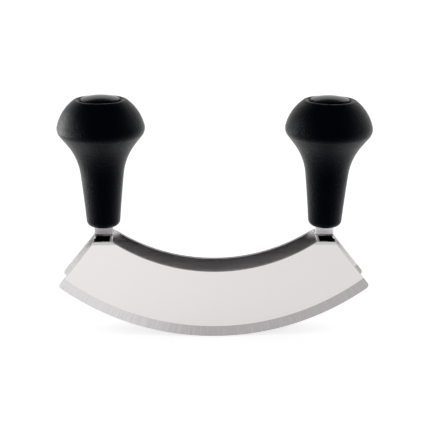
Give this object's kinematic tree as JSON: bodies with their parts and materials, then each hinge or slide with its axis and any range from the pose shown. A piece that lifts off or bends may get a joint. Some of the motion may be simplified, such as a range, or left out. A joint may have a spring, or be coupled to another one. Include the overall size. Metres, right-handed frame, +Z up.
{
  "type": "mezzaluna",
  "caption": "Rocking kitchen chopper: parallel crescent steel blades whose folded tangs rise into black knob handles closed by glossy caps.",
  "frame": {"origin": "on the table under the middle of the object, midway between the two cutting edges", "axes": "+X along the blades to the right-hand handle, +Y from the front blade to the rear blade, +Z up through the handles"},
  "size_m": [0.155, 0.0426, 0.1219],
  "materials": {
    "blade_steel": "polished sheet with a finely ground bevel",
    "handle_plastic": "fine matte moulding texture",
    "cap_plastic": "gloss",
    "fastener_steel": "plain machined"
  },
  "bodies": {
    "root": {"front_blade": "blade_steel", "rear_blade": "blade_steel", "left_handle": "handle_plastic", "right_handle": "handle_plastic", "left_cap": "cap_plastic", "right_cap": "cap_plastic", "left_washer": "fastener_steel", "right_washer": "fastener_steel", "left_cross_pin": "fastener_steel", "right_cross_pin": "fastener_steel"}
  },
  "joints": []
}
